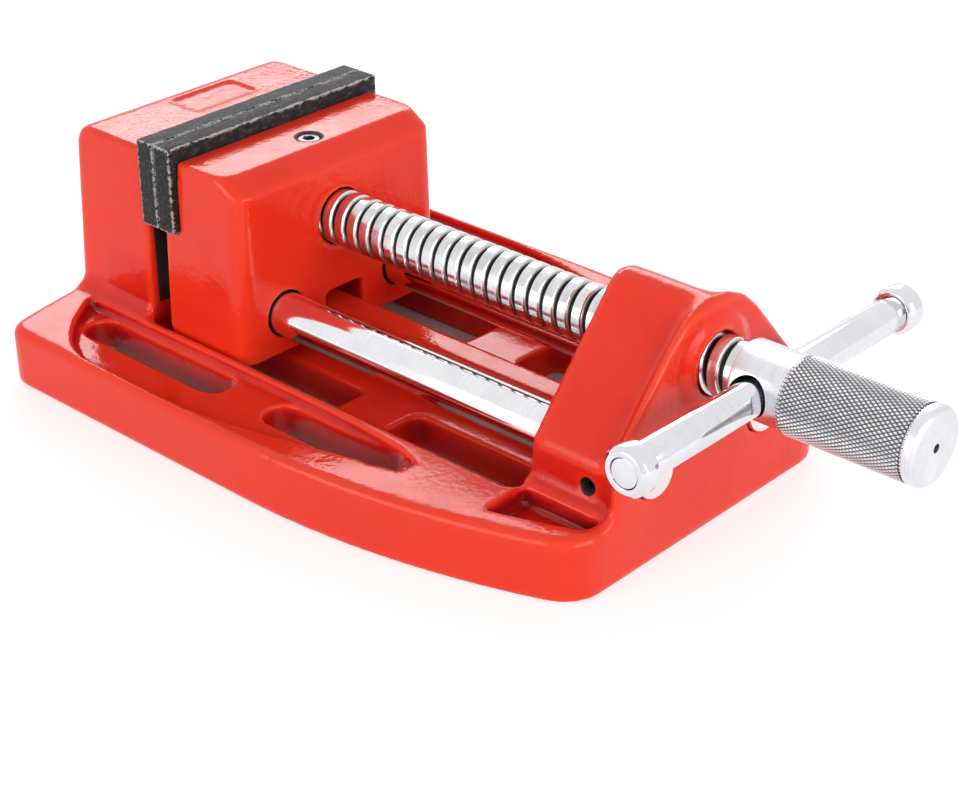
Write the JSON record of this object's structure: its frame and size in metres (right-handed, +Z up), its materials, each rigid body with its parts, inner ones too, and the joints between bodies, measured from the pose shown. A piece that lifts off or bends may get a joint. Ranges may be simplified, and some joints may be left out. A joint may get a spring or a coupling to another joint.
{
  "type": "drill press vise",
  "caption": "Low bench vise with a slotted cast base, a moving jaw on two guide rods and a trapezoidal screw turned by a knurled grip and a sliding cross bar.",
  "frame": {"origin": "on the underside of the base, below the seam between the closed jaw plates, in the middle plane of the vise", "axes": "+X along the lead screw towards the handle, +Y to the left of someone facing the handle's way, +Z up"},
  "size_m": [0.3371, 0.178, 0.091],
  "materials": {
    "orange_red_enamel": "glossy orange-red enamel on cast iron",
    "blackened_jaw_steel": "blackened steel with a rough chequered surface",
    "ground_rod_steel": "ground bright steel",
    "bright_screw_steel": "bright machined steel",
    "tommy_bar_chrome": "polished chrome",
    "black_oxide_screws": "black oxide"
  },
  "bodies": {
    "base": {"base_casting": "orange_red_enamel", "fixed_jaw_plate": "blackened_jaw_steel", "fixed_plate_screw_left": "black_oxide_screws", "fixed_plate_screw_right": "black_oxide_screws", "guide_rod_left": "ground_rod_steel", "guide_rod_right": "ground_rod_steel", "rod_set_screw_left": "black_oxide_screws", "rod_set_screw_right": "black_oxide_screws"},
    "jaw": {"moving_jaw": "orange_red_enamel", "moving_jaw_plate": "blackened_jaw_steel", "moving_plate_screw_left": "black_oxide_screws", "moving_plate_screw_right": "black_oxide_screws", "screw_retaining_screw": "black_oxide_screws"},
    "screw": {"lead_screw": "bright_screw_steel"},
    "bar": {"tommy_bar": "tommy_bar_chrome", "tommy_bar_cap_near": "tommy_bar_chrome", "tommy_bar_cap_far": "tommy_bar_chrome"}
  },
  "joints": [
    {"name": "jaw_slide", "type": "slide", "parent": "base", "child": "jaw", "axis": [1, 0, 0], "range_m": [0, 0.12]},
    {"name": "screw_turn", "type": "hinge", "parent": "jaw", "child": "screw", "pos_m": [0, 0, 0.06], "axis": [1, 0, 0], "range_deg": [0, 7200]},
    {"name": "bar_slide", "type": "slide", "parent": "screw", "child": "bar", "axis": [0, 1, 0], "range_m": [-0.0533, 0.0497]}
  ],
  "couplings": [
    {"joint": "screw_turn", "follows": "jaw_slide", "rad_per_m": 1047.2}
  ]
}
